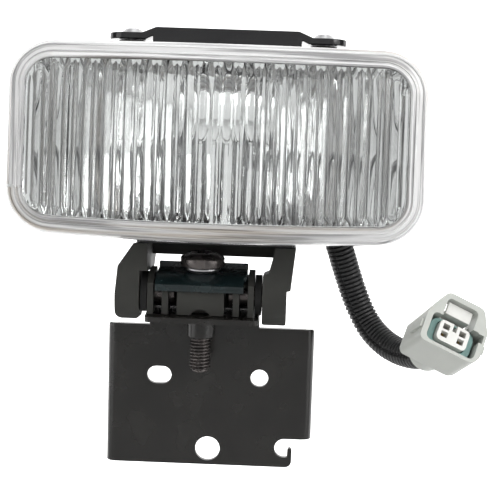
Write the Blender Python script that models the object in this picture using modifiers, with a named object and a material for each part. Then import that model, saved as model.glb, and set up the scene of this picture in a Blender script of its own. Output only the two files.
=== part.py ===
"""A rectangular fog light on its clamp bracket, with a corrugated lead and a two-way connector.

Frame: +Z up, the lamp faces -Y, and +X is to the right seen from the front. The origin lies on
the rear face of the mounting plate, midway between its two upper holes.

Sizes are in millimetres, and MM turns them into metres. Three groups of pieces have a frame of
their own, each an empty: the lamp's has its origin on the tilt axis, the rear cover's is on the
lamp's optical axis, and the connector's is at the centre of its mating face.
"""

import math

import bmesh
import bpy
from mathutils import Matrix, Vector

MM = 0.001
GAP = 0.3  # the clearance that pieces touching each other keep
EPS = 1.0  # how far a cutter runs past the face it cuts
STEP = 0.02  # how far the faces of a joined strip lie inside the plate's

# Mounting plate, in the world frame
SHEET = 2.0
PLATE_LEFT, PLATE_RIGHT = -39.2, 39.7
PLATE_TOP, PLATE_BOTTOM = 19.7, -35.0
FLANGE_RADIUS = 3.5
FLANGE_DEPTH = 8.0
HOLE_X = 19.2
SLOT_WIDTH, SLOT_LENGTH = 6.8, 9.3
ROUND_HOLE = 6.8
LOWER_HOLE_Z, LOWER_HOLE = -28.6, 9.5
NOTCH_X, NOTCH_Z, NOTCH_RADIUS = 29.5, -27.4, 3.7
HOOK_RIGHT = 32.5
SHELF_TOP, SHELF_FRONT = 28.1, -28.0
SHELF_LEFT, SHELF_RIGHT, SHELF_CORNER = -23.3, 18.5, 2.0
BEND_RADIUS = 4.0

# Clamp, round the point where the tilt axis crosses the clamp screw's axis
PIVOT = Vector((-3.1, -14.0, 34.5))
TILT_AT_REST = -8.2
CHEEK_OUTER, CHEEK_INNER = 19.6, 17.4
RIB_OUTER, RIB_INNER = 14.25, 11.95
CORE_HALF = 8.65
BLOCK_FRONT, BLOCK_BACK = -9.4, 9.4
BLOCK_TOP, CHEEK_TOP = 6.3, 8.6
BLOCK_BOTTOM = SHELF_TOP + GAP - PIVOT.z
SADDLE_HALF, SADDLE_SHEET = 16.8, 1.8
PIN_RADIUS = 4.0
SCREW_HEAD_RADIUS, SCREW_HEAD_BOTTOM = 8.2, 45.3
SCREW_HEIGHT, SCREW_SOCKET = 5.2, 2.6
SCREW_CORE, SCREW_END = 3.7, 5.1
INSERT_RADIUS, INSERT_BOTTOM = 5.2, 18.3

# Lamp, in the frame of the tilt axis
LAMP_X, LAMP_Z = 4.8, 55.45
LENS_HALF_X, LENS_HALF_Z, LENS_CORNER = 75.1, 35.95, 15.0
LENS_WALL, LENS_BACK = 3.0, -13.0
BOW_TOP, BOW_BOTTOM = 0.9, 2.2
FLANGE_FRONT = -11.2
REAR_WALL, NECK_END = 34.0, 44.0
NECK_RADIUS, NECK_BORE = 25.0, 20.5
FOCAL_LENGTH, VERTEX_Y = 30.0, 27.8
MIRROR_HALF_X, MIRROR_HALF_Z, MIRROR_FRONT = 67.2, 28.0, -15.0
BULB_HOLE = 9.0
ARM_INNER, ARM_OUTER, ARM_RADIUS = 22.7, 31.6, 10.6
BAR_FRONT, BAR_BACK, BAR_BOTTOM, BRACKET_TOP = 13.0, 29.0, 14.1, 18.5
BASE_BOTTOM, BASE_TOP, BASE_HALF = 18.8, 20.6, 29.4
BASE_SCREW_X, BASE_SCREW_Y = 16.0, 22.0
TOP_X, EAR_X, EAR_SCREW_X = 6.4, 44.1, 35.6
EAR_BOTTOM, EAR_TOP, HAT_TOP = 93.8, 96.2, 98.4
STRAP_FRONT, STRAP_BACK = -5.0, 9.0
GROMMET_X, GROMMET_Y = 49.7, 20.3

# Lead and connector
CONDUIT_RADIUS = 5.2
ROUTE = [
    (46.2, 9.2, 55.7), (48.3, 10.0, 49.7), (51.4, 11.0, 40.3), (54.9, 11.0, 30.9),
    (58.5, 9.8, 23.4), (62.3, 7.3, 18.2), (66.9, 3.2, 14.6), (71.7, -2.0, 12.9),
    (76.5, -8.3, 13.0), (80.2, -14.0, 14.6), (81.8, -17.75, 16.8),
]
CONNECTOR_FACE = Vector((89.2, -36.0, 27.7))
CONNECTOR_TURN, CONNECTOR_PITCH, CONNECTOR_ROLL = 22.0, -29.0, 30.0
SHROUD_HALF_X, SHROUD_BOTTOM, SHROUD_TOP = 12.0, -7.2, 6.6
SHROUD_LENGTH, CONNECTOR_LENGTH = 19.0, 25.0
CAVITY_DEPTH = 13.0

FINISHES = {  # name: colour, roughness, metallic
    "black_steel": ((0.030, 0.030, 0.028), 0.45, 0.3),
    "gloss_black_steel": ((0.010, 0.010, 0.012), 0.12, 0.3),
    "black_plastic": ((0.045, 0.045, 0.042), 0.55, 0.0),
    "dark_screw": ((0.060, 0.052, 0.050), 0.38, 0.6),
    "zinc_steel": ((0.55, 0.55, 0.55), 0.35, 1.0),
    "clear_lens": ((0.90, 0.92, 0.92), 0.05, 0.0),
    "mirror": ((0.90, 0.90, 0.90), 0.08, 1.0),
    "black_rubber": ((0.020, 0.020, 0.020), 0.75, 0.0),
    "conduit_black": ((0.020, 0.020, 0.020), 0.60, 0.0),
    "grey_plastic": ((0.50, 0.51, 0.47), 0.45, 0.0),
    "white_plastic": ((0.72, 0.72, 0.70), 0.45, 0.0),
    "teal_rubber": ((0.20, 0.36, 0.34), 0.60, 0.0),
    "brass": ((0.75, 0.58, 0.30), 0.30, 1.0),
    "tungsten": ((0.35, 0.35, 0.36), 0.40, 1.0),
    "bulb_glass": ((0.95, 0.95, 0.95), 0.02, 0.0),
}


def clear_scene():
    for obj in list(bpy.data.objects):
        bpy.data.objects.remove(obj)


def new_collection(name, hidden=False):
    collection = bpy.data.collections.new(name)
    collection.hide_render = hidden
    bpy.context.scene.collection.children.link(collection)
    return collection


def new_material(name, colour, roughness, metallic):
    material = bpy.data.materials.new(name)
    material.use_nodes = True
    shader = material.node_tree.nodes["Principled BSDF"]
    shader.inputs["Base Color"].default_value = (*colour, 1.0)
    shader.inputs["Roughness"].default_value = roughness
    shader.inputs["Metallic"].default_value = metallic
    material.diffuse_color = (*colour, 1.0)
    return material


def new_frame(name, matrix, parent=None):
    frame = bpy.data.objects.new(name, None)
    frame.parent = parent
    frame.matrix_basis = matrix
    PARTS.objects.link(frame)
    return frame


def part(obj, name, finish, frame=None):
    """Makes a shape a node of the model, in the given frame."""
    obj.name = name
    obj.data.name = name
    obj.data.materials.clear()
    obj.data.materials.append(MATERIALS[finish])
    obj.parent = frame
    PARTS.objects.link(obj)
    return obj


def boolean(obj, tool, operation):
    tool.parent = obj.parent
    tool.hide_render = True
    tool.display_type = "WIRE"
    CUTTERS.objects.link(tool)
    modifier = obj.modifiers.new(operation.lower(), "BOOLEAN")
    modifier.operation = operation
    modifier.object = tool
    modifier.solver = "EXACT"


def cut(obj, *tools):
    for tool in tools:
        boolean(obj, tool, "DIFFERENCE")


def join(obj, *tools):
    for tool in tools:
        boolean(obj, tool, "UNION")


def keep_common(obj, *tools):
    for tool in tools:
        boolean(obj, tool, "INTERSECT")


def smooth(obj, angle=35.0):
    obj.data.shade_smooth()
    obj.data.set_sharp_from_angle(angle=math.radians(angle))


def object_from(bm, name="shape"):
    """A mesh object; its points are rounded, so that flush faces of two shapes stay flush."""
    bmesh.ops.recalc_face_normals(bm, faces=bm.faces)
    for vertex in bm.verts:
        vertex.co = [round(value, 7) for value in vertex.co]
    mesh = bpy.data.meshes.new(name)
    bm.to_mesh(mesh)
    bm.free()
    return bpy.data.objects.new(name, mesh)


def box(low, high):
    bm = bmesh.new()
    low, high = Vector(low), Vector(high)
    size = Matrix.Diagonal((*((high - low) * MM), 1.0))
    bmesh.ops.create_cube(bm, size=1.0, matrix=Matrix.Translation((low + high) * MM / 2) @ size)
    return object_from(bm)


def towards(direction):
    """The rotation that turns +Z to the direction."""
    return Vector(direction).to_track_quat("Z", "Y").to_matrix().to_4x4()


def rod(start, end, radius, end_radius=None, sides=24):
    start, end = Vector(start), Vector(end)
    bm = bmesh.new()
    bmesh.ops.create_cone(
        bm, cap_ends=True, segments=sides, radius1=radius * MM,
        radius2=(radius if end_radius is None else end_radius) * MM, depth=(end - start).length * MM,
        matrix=Matrix.Translation((start + end) * MM / 2) @ towards(end - start),
    )
    obj = object_from(bm)
    smooth(obj)
    return obj


def turned(profile, origin, direction, sides=32, closed=False):
    """Turns a profile of (radius, height) points round a direction; it runs down its outer side."""
    bm = bmesh.new()
    points = [bm.verts.new((radius * MM, 0.0, height * MM)) for radius, height in profile]
    for first, second in zip(points, points[1:]):
        bm.edges.new((first, second))
    if closed:
        bm.edges.new((points[-1], points[0]))
    mesh = bpy.data.meshes.new("turned")
    bm.to_mesh(mesh)
    bm.free()
    obj = bpy.data.objects.new("turned", mesh)
    screw = obj.modifiers.new("turn", "SCREW")
    screw.steps = sides
    screw.render_steps = sides
    screw.use_merge_vertices = True
    screw.merge_threshold = 0.00001
    screw.use_smooth_shade = True
    obj.matrix_basis = Matrix.Translation(Vector(origin) * MM) @ towards(direction)
    return obj


def mesh_from_curve(curve, matrix):
    """A mesh object with the curve's shape, its caps welded on, and the curve removed."""
    carrier = bpy.data.objects.new("curve", curve)
    bpy.context.scene.collection.objects.link(carrier)
    bpy.context.view_layer.update()
    evaluated = carrier.evaluated_get(bpy.context.evaluated_depsgraph_get())
    bm = bmesh.new()
    bm.from_mesh(bpy.data.meshes.new_from_object(evaluated))
    bmesh.ops.remove_doubles(bm, verts=bm.verts, dist=0.000002)
    bmesh.ops.transform(bm, matrix=matrix, verts=bm.verts)
    bpy.data.objects.remove(carrier)
    bpy.data.curves.remove(curve)
    return object_from(bm)


ALONG = {  # the rotation that stands an outline's third direction along an axis
    "X": Matrix(((0, 0, 1, 0), (1, 0, 0, 0), (0, 1, 0, 0), (0, 0, 0, 1))),
    "Y": Matrix(((1, 0, 0, 0), (0, 0, -1, 0), (0, 1, 0, 0), (0, 0, 0, 1))),
    "Z": Matrix.Identity(4),
}


def prism(outline, axis, low, high):
    """An outline in the other two axes' order, as thick as low to high along its axis."""
    curve = bpy.data.curves.new("outline", "CURVE")
    curve.dimensions = "2D"
    curve.fill_mode = "BOTH"
    curve.extrude = (high - low) * MM / 2
    spline = curve.splines.new("POLY")
    spline.points.add(len(outline) - 1)
    for point, (first, second) in zip(spline.points, outline):
        point.co = (first * MM, second * MM, 0.0, 1.0)
    spline.use_cyclic_u = True
    middle = Vector([(low + high) * MM / 2 if name == axis else 0.0 for name in "XYZ"])
    return mesh_from_curve(curve, Matrix.Translation(middle) @ ALONG[axis])


def tube(points, radius, resolution=2):
    """A round wire along the points, with filled caps."""
    curve = bpy.data.curves.new("tube", "CURVE")
    curve.dimensions = "3D"
    curve.bevel_depth = radius * MM
    curve.bevel_resolution = resolution
    curve.use_fill_caps = True
    spline = curve.splines.new("POLY")
    spline.points.add(len(points) - 1)
    for point, place in zip(spline.points, points):
        point.co = (*(Vector(place) * MM), 1.0)
    return mesh_from_curve(curve, Matrix.Identity(4))


def sheet(points, axis, low, high, thickness, side=-1.0):
    """A bent strip: a run of points swept along an axis and thickened to one side."""
    bm = bmesh.new()
    order = {"X": lambda u, v, w: (w, u, v), "Y": lambda u, v, w: (u, w, v)}[axis]
    rows = [[bm.verts.new(Vector(order(u, v, w)) * MM) for u, v in points] for w in (low, high)]
    for i in range(len(points) - 1):
        bm.faces.new((rows[0][i], rows[0][i + 1], rows[1][i + 1], rows[1][i]))
    mesh = bpy.data.meshes.new("sheet")
    bm.to_mesh(mesh)
    bm.free()
    obj = bpy.data.objects.new("sheet", mesh)
    solidify = obj.modifiers.new("thickness", "SOLIDIFY")
    solidify.thickness = thickness * MM
    solidify.offset = side
    solidify.use_even_offset = True
    return obj


def arc(centre, radius, start, end, steps=6):
    """Points on an arc, by its angles in degrees."""
    angles = [math.radians(start + (end - start) * i / steps) for i in range(steps + 1)]
    return [(centre[0] + radius * math.cos(a), centre[1] + radius * math.sin(a)) for a in angles]


def smooth_route(points, spacing):
    """Points a spacing apart on a Catmull-Rom curve through the route's own points."""
    knots = [Vector(p) for p in points]
    knots = [2 * knots[0] - knots[1]] + knots + [2 * knots[-1] - knots[-2]]
    dense = []
    for a, b, c, d in zip(knots, knots[1:], knots[2:], knots[3:]):
        for step in range(20):
            t = step / 20
            dense.append(0.5 * (2 * b + (c - a) * t + (2 * a - 5 * b + 4 * c - d) * t**2
                                + (3 * b - a - 3 * c + d) * t**3))
    dense.append(knots[-2])
    travelled = [0.0]
    for a, b in zip(dense, dense[1:]):
        travelled.append(travelled[-1] + (b - a).length)
    count = round(travelled[-1] / spacing)
    found = []
    for i in range(count + 1):
        goal = travelled[-1] * i / count
        k = min(max(j for j, s in enumerate(travelled) if s <= goal + 1e-9), len(dense) - 2)
        part_way = (goal - travelled[k]) / (travelled[k + 1] - travelled[k])
        found.append(dense[k].lerp(dense[k + 1], part_way))
    return found


# Loops round the lamp's optical axis. Each has 40 points, starting at the right and going up.

CORNER_STEPS, EDGE_STEPS = 5, 4
LOOP_POINTS = 4 * (CORNER_STEPS + EDGE_STEPS + 1)


def rect_loop(half_x, half_z, radius, y, bow=0.0):
    """A rounded rectangle at depth y, whose long edges bow outwards by a share of the lens's bow."""
    quarter = [(half_x, 0.0)] + arc((half_x - radius, half_z - radius), radius, 0, 90, CORNER_STEPS)
    quarter += [((half_x - radius) * (1 - i / EDGE_STEPS), half_z) for i in range(1, EDGE_STEPS)]
    upper = quarter + [(0.0, half_z)] + [(-x, z) for x, z in reversed(quarter)]
    lower = [(x, -z) for x, z in reversed(upper[1:-1])]
    points = []
    for x, z in upper + lower:
        drop = bow * (BOW_TOP if z > 0 else BOW_BOTTOM) * (x / half_x) ** 2 * abs(z) / half_z
        points.append(Vector((LAMP_X + x, y, LAMP_Z + z - math.copysign(drop, z))))
    return points


def round_loop(radius, y):
    angles = [math.tau * i / LOOP_POINTS for i in range(LOOP_POINTS)]
    return [Vector((LAMP_X + radius * math.cos(a), y, LAMP_Z + radius * math.sin(a))) for a in angles]


def skin(loops, capped=False, ring=False):
    """Joins equal loops by quads; capped closes both ends, and ring joins the last to the first."""
    bm = bmesh.new()
    rows = [[bm.verts.new(point * MM) for point in loop] for loop in loops]
    for near, far in list(zip(rows, rows[1:])) + ([(rows[-1], rows[0])] if ring else []):
        for i, corner in enumerate(near):
            j = (i + 1) % len(near)
            bm.faces.new((corner, near[j], far[j], far[i]))
    if capped:
        bm.faces.new(rows[0])
        bm.faces.new(reversed(rows[-1]))
    if capped or ring:
        obj = object_from(bm)
    else:
        mesh = bpy.data.meshes.new("skin")
        bm.to_mesh(mesh)
        bm.free()
        obj = bpy.data.objects.new("skin", mesh)
    smooth(obj)
    return obj


# Mounting bracket and clamp ---------------------------------------------------------------

FLANGE_SLOPE = [
    (-0.9, 20.1), (5.6, 14.2), (7.2, 12.2), (7.9, 10.0), (8.5, 8.0), (10.0, 8.0), (10.0, 21.5), (-0.9, 21.5),
]


def plate_outline():
    """The front face's outline in X and Z, between the two side flanges' bends."""
    left, right = PLATE_LEFT + FLANGE_RADIUS, PLATE_RIGHT - FLANGE_RADIUS
    notch = arc((NOTCH_X, NOTCH_Z), NOTCH_RADIUS, 90, 290, 14)
    tip = arc((31.7, -28.1), 0.85, 180, 0, 5)
    foot = arc((HOOK_RIGHT - 2.4, PLATE_BOTTOM + 2.4), 2.4, 0, -90, 5)
    return (
        [(left, PLATE_BOTTOM), (left, PLATE_TOP), (right, PLATE_TOP), (right, NOTCH_Z + NOTCH_RADIUS)]
        + notch + tip + foot
    )


def make_mount_plate():
    obj = part(prism(plate_outline(), "Y", -SHEET, 0.0), "mount_plate", "black_steel")
    front, rear = STEP - SHEET, -STEP
    thick = rear - front
    bend = (rear - BEND_RADIUS, SHELF_TOP - BEND_RADIUS)
    shelf = [(rear, PLATE_TOP - 4.0)] + arc(bend, BEND_RADIUS, 0, 90, 6)
    shelf += [(SHELF_FRONT, SHELF_TOP), (SHELF_FRONT, SHELF_TOP - thick)]
    shelf += arc(bend, BEND_RADIUS - thick, 90, 0, 6) + [(front, PLATE_TOP - 4.0)]
    join(obj, prism(shelf, "X", SHELF_LEFT, SHELF_RIGHT))
    right_bottom = NOTCH_Z + NOTCH_RADIUS
    for side, edge, bottom in ((-1, PLATE_LEFT, PLATE_BOTTOM), (1, PLATE_RIGHT, right_bottom)):
        centre = (edge - side * FLANGE_RADIUS, front + FLANGE_RADIUS)
        outer = arc(centre, FLANGE_RADIUS, -90, -90 + side * 90, 6)
        inner = arc(centre, FLANGE_RADIUS - thick, -90 + side * 90, -90, 6)
        outline = [(centre[0] - side * 1.5, front)] + outer + [(edge, FLANGE_DEPTH)]
        outline += [(edge - side * thick, FLANGE_DEPTH)] + inner
        outline += [(centre[0] - side * 1.5, rear)]
        join(obj, prism(outline, "Z", bottom + STEP, PLATE_TOP - STEP))
        low, high = sorted((edge + side * EPS, edge - side * (FLANGE_RADIUS - 0.2)))
        cut(obj, prism(FLANGE_SLOPE, "X", low, high))
        tab, inward = (SHELF_LEFT, 1) if side < 0 else (SHELF_RIGHT, -1)
        middle = (tab + inward * SHELF_CORNER, SHELF_FRONT + SHELF_CORNER)
        round_off = arc(middle, SHELF_CORNER, -90, -90 - inward * 90, 5)
        round_off += [(tab - inward * EPS, middle[1]), (tab - inward * EPS, SHELF_FRONT - EPS)]
        round_off.append((middle[0], SHELF_FRONT - EPS))
        cut(obj, prism(round_off, "Z", SHELF_TOP - SHEET - EPS, SHELF_TOP + EPS))
    half = (SLOT_LENGTH - SLOT_WIDTH) / 2
    slot = arc((-HOLE_X + half, 0), SLOT_WIDTH / 2, -90, 90, 10)
    slot += arc((-HOLE_X - half, 0), SLOT_WIDTH / 2, 90, 270, 10)
    cut(
        obj,
        prism(slot, "Y", -SHEET - EPS, EPS),
        rod((HOLE_X, -SHEET - EPS, 0), (HOLE_X, EPS, 0), ROUND_HOLE / 2, sides=28),
        rod((0, -SHEET - EPS, LOWER_HOLE_Z), (0, EPS, LOWER_HOLE_Z), LOWER_HOLE / 2, sides=32),
        rod((PIVOT.x, PIVOT.y, SHELF_TOP + EPS), (PIVOT.x, PIVOT.y, SHELF_TOP - 4), 4.5, sides=28),
    )


def make_thread_insert():
    top = SHELF_TOP - SHEET - GAP
    profile = [(4.15, top), (INSERT_RADIUS, top), (INSERT_RADIUS, INSERT_BOTTOM + 0.6)]
    profile += [(INSERT_RADIUS - 0.6, INSERT_BOTTOM), (4.15, INSERT_BOTTOM)]
    obj = turned(profile, (PIVOT.x, PIVOT.y, 0), (0, 0, 1), closed=True)
    part(obj, "thread_insert", "dark_screw")


def make_pivot_block(frame):
    """The moulded block: two cheeks, two ribs and a core, split at the back for the clamp."""
    side = [
        (BLOCK_BACK, BLOCK_BOTTOM), (BLOCK_BACK, CHEEK_TOP - 1.5), (BLOCK_BACK - 1.5, CHEEK_TOP),
        (-4.5, CHEEK_TOP), (BLOCK_FRONT - 0.6, CHEEK_TOP - 3.0), (BLOCK_FRONT - 0.6, BLOCK_BOTTOM),
    ]
    obj = part(prism(side, "X", -CHEEK_OUTER, CHEEK_OUTER), "pivot_block", "black_plastic", frame)
    recess = [
        (BLOCK_BACK + EPS, BLOCK_TOP), (-5.2, BLOCK_TOP), (BLOCK_FRONT, 3.9), (BLOCK_FRONT, BLOCK_BOTTOM - EPS),
        (BLOCK_FRONT - 4, BLOCK_BOTTOM - EPS), (BLOCK_FRONT - 4, CHEEK_TOP + EPS),
        (BLOCK_BACK + EPS, CHEEK_TOP + EPS),
    ]
    cut(obj, prism(recess, "X", -CHEEK_INNER, CHEEK_INNER))
    for sign in (-1, 1):
        for inner, outer in ((CORE_HALF, RIB_INNER), (RIB_OUTER, CHEEK_INNER)):
            low, high = sorted((sign * inner, sign * outer))
            cut(obj, box((low, BLOCK_FRONT - 2, BLOCK_BOTTOM - EPS), (high, 5.5, 4.6)))
        low, high = sorted((sign * (CORE_HALF + 0.6), sign * (CHEEK_OUTER + EPS)))
        cut(
            obj,
            rod((low, 0, 0), (high, 0, 0), PIN_RADIUS + GAP, sides=28),
            box((low, 0, -0.6), (high, BLOCK_BACK + EPS, 0.6)),
        )
    cut(
        obj,
        rod((0, 0, BLOCK_BOTTOM - EPS), (0, 0, CHEEK_TOP), 4.5, sides=28),
        rod((0, BLOCK_FRONT - 2, -8.0), (0, -5.2, -8.0), 4.1, sides=28),
    )


def make_clamp_saddle(frame):
    """The pressed saddle that the screw pulls down on the block: rear lip, seat, slope and front lip."""
    run = [(8.75, 10.4), (8.75, BLOCK_TOP + GAP + SADDLE_SHEET), (-5.9, BLOCK_TOP + GAP + SADDLE_SHEET),
           (-11.5, 5.4), (-11.5, 2.9)]
    obj = sheet(run, "X", -SADDLE_HALF, SADDLE_HALF, SADDLE_SHEET)
    part(obj, "clamp_saddle", "black_steel", frame)
    cut(
        obj,
        rod((0, 0, 4), (0, 0, 12), 4.5, sides=28),
        box((SADDLE_HALF - 1.0, -16.0, 0.0), (SADDLE_HALF + EPS, -6.3, 10.0)),
    )


def make_cup_washer():
    low = PIVOT.z + BLOCK_TOP + 2 * GAP + SADDLE_SHEET
    high = SCREW_HEAD_BOTTOM - GAP
    profile = [(4.3, high), (6.9, high), (6.9, high - 0.6), (5.6, low), (4.3, low)]
    obj = turned(profile, (PIVOT.x, PIVOT.y, 0), (0, 0, 1), closed=True)
    part(obj, "cup_washer", "zinc_steel")


def make_clamp_screw(frame):
    """Flat-topped head with a six-lobed recess; the shank is at the thread's core diameter."""
    base = SCREW_HEAD_BOTTOM - PIVOT.z
    top = base + SCREW_HEIGHT
    profile = [(0.0, top), (5.4, top - 0.1), (6.8, top - 0.5), (7.7, top - 1.3), (SCREW_HEAD_RADIUS, top - 2.4)]
    profile += [(SCREW_HEAD_RADIUS, base + 0.5), (7.7, base), (SCREW_CORE, base)]
    profile += [(SCREW_CORE, SCREW_END + 1.2 - PIVOT.z), (2.7, SCREW_END - PIVOT.z), (0.0, SCREW_END - PIVOT.z)]
    obj = part(turned(profile, (0, 0, 0), (0, 0, 1)), "clamp_screw", "dark_screw", frame)
    lobes = []
    for i in range(36):
        angle = math.tau * i / 36
        reach = 3.05 + 0.5 * math.cos(6 * angle)
        lobes.append((reach * math.cos(angle), reach * math.sin(angle)))
    cut(obj, prism(lobes, "Z", top - SCREW_SOCKET, top + EPS))


def make_pivot_washers(frame):
    """Flat-footed spacers that fill the gaps between the block's cheeks and the arms."""
    outline = arc((0, 0), 8.1, -48.8, 228.8, 20)
    for name, sign in (("left", -1), ("right", 1)):
        low, high = sorted((sign * (CHEEK_OUTER + GAP), sign * (ARM_INNER - GAP)))
        obj = part(prism(outline, "X", low, high), f"pivot_washer_{name}", "black_rubber", frame)
        cut(obj, rod((low - EPS, 0, 0), (high + EPS, 0, 0), PIN_RADIUS + GAP, sides=28))


# Lamp body ---------------------------------------------------------------------------------

def make_lens(lamp):
    """The clear tray: stepped side walls and a slightly domed face, open at the back."""
    outer = [(0.0, LENS_BACK), (0.3, -20.0), (0.6, -27.0), (1.2, -30.0), (2.5, -32.4), (5.2, -34.6), (7.6, -37.0)]
    radii = (LENS_CORNER, LENS_CORNER, 14.6, 14.2, 13.2, 11.4, 9.6)

    def loops(shrink, push):
        found = []
        for (inset, y), radius in zip(outer, radii):
            half_x, half_z = LENS_HALF_X - inset - shrink, LENS_HALF_Z - inset - shrink
            depth = y + push * min(1.0, inset / 5.6)
            found.append(rect_loop(half_x, half_z, max(radius - shrink, 4.0), depth, 1.0))
        for share, y in ((0.66, -38.0), (0.3, -38.6)):
            half_x, half_z = (LENS_HALF_X - 8 - shrink) * share, (LENS_HALF_Z - 8 - shrink) * share
            found.append(rect_loop(half_x, half_z, half_z * 0.45, y + push))
        return found

    inside = loops(LENS_WALL, LENS_WALL)
    outside = loops(0.0, 0.0)
    part(skin(inside[::-1] + outside, capped=True), "lens", "clear_lens", lamp)


def make_lens_seal(lamp):
    front, back = LENS_BACK + GAP, FLANGE_FRONT - GAP
    outside, inside = (LENS_HALF_X - 0.5, LENS_HALF_Z - 0.5, 14.5), (71.9, 32.7, 11.8)
    loops = [rect_loop(*outside, front, 1), rect_loop(*outside, back, 1)]
    loops += [rect_loop(*inside, back, 1), rect_loop(*inside, front, 1)]
    part(skin(loops, ring=True), "lens_seal", "black_rubber", lamp)


def housing_loops():
    """The housing's wall, from the front flange round the rear wall and back along the inside."""
    outside = [
        (74.6, 35.4, 14.5, FLANGE_FRONT), (74.6, 35.4, 14.5, -7.5), (71.5, 32.7, 12.5, -6.0),
        (70.0, 32.4, 13.0, 5.0), (65.0, 32.2, 14.0, 31.0), (61.0, 29.4, 13.0, REAR_WALL),
    ]
    inside = [
        (59.4, 28.0, 12.0, REAR_WALL - 2.2), (62.9, 30.2, 12.0, 29.8),
        (67.8, 30.4, 11.0, 4.5), (69.5, 30.7, 10.5, -6.5), (71.6, 32.4, 11.5, -8.0), (71.6, 32.4, 11.5, FLANGE_FRONT),
    ]
    shell = [rect_loop(hx, hz, r, y, 1.0 if y < -5 else 0.0) for hx, hz, r, y in outside]
    shell += [round_loop(NECK_RADIUS, REAR_WALL), round_loop(NECK_RADIUS, NECK_END)]
    shell += [round_loop(NECK_BORE, NECK_END), round_loop(NECK_BORE, REAR_WALL - 2.2)]
    return shell + [rect_loop(hx, hz, r, y, 1.0 if y < -5 else 0.0) for hx, hz, r, y in inside]


def make_lamp_housing(lamp):
    obj = part(skin(housing_loops(), ring=True), "lamp_housing", "black_plastic", lamp)
    middle = (STRAP_FRONT + STRAP_BACK) / 2
    for sign in (-1, 1):
        x = TOP_X + sign * EAR_SCREW_X
        join(obj, rod((x, middle, 86.4), (x, middle, EAR_BOTTOM - GAP), 5.0))
        cut(obj, rod((x, middle, 88.2), (x, middle, EAR_TOP), 2.3, sides=16))
        x = LAMP_X + sign * BASE_SCREW_X
        join(obj, rod((x, BASE_SCREW_Y, BASE_TOP + GAP), (x, BASE_SCREW_Y, 25.6), 4.6))
        cut(obj, rod((x, BASE_SCREW_Y, BASE_TOP - EPS), (x, BASE_SCREW_Y, 24.9), 2.3, sides=16))
    cut(obj, rod((GROMMET_X, GROMMET_Y, 20.0), (GROMMET_X, GROMMET_Y, 29.0), 8.6, sides=28))
    vent = (LAMP_X - 32.0, REAR_WALL, LAMP_Z + 12.0)
    join(obj, rod((vent[0], vent[1] - 1.5, vent[2]), (vent[0], vent[1] + 6.0, vent[2]), 3.0, sides=20))
    cut(obj, rod((vent[0], vent[1] - 6.0, vent[2]), (vent[0], vent[1] + 7.0, vent[2]), 1.6, sides=16))


def make_vent_cap(lamp):
    origin = (LAMP_X - 32.0, REAR_WALL + GAP, LAMP_Z + 12.0)
    profile = [(0.0, 9.5), (3.2, 9.5), (4.4, 8.6), (4.4, 0.0), (3.3, 0.0), (3.3, 6.6), (0.0, 6.6)]
    part(turned(profile, origin, (0, 1, 0), sides=20), "vent_cap", "black_rubber", lamp)


def make_reflector(lamp):
    """A paraboloid cut to a rectangle, with flat walls forward to its front lip."""
    def on_mirror(point):
        reach = (point.x - LAMP_X) ** 2 + (point.z - LAMP_Z) ** 2
        return Vector((point.x, VERTEX_Y - reach / (4 * FOCAL_LENGTH), point.z))

    hole = round_loop(BULB_HOLE, 0.0)
    rim = rect_loop(MIRROR_HALF_X, MIRROR_HALF_Z, 7.0, 0.0)
    shares = (0.0, 0.14, 0.3, 0.48, 0.66, 0.83, 1.0)
    loops = [[on_mirror(a.lerp(b, share)) for a, b in zip(hole, rim)] for share in shares]
    loops.append(rect_loop(MIRROR_HALF_X, MIRROR_HALF_Z, 7.0, MIRROR_FRONT))
    loops.append(rect_loop(MIRROR_HALF_X + 3.2, MIRROR_HALF_Z + 1.6, 8.6, MIRROR_FRONT))
    obj = part(skin(loops), "reflector", "mirror", lamp)
    solidify = obj.modifiers.new("thickness", "SOLIDIFY")
    solidify.thickness = 1.2 * MM
    solidify.offset = 1.0
    solidify.use_even_offset = False


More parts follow.
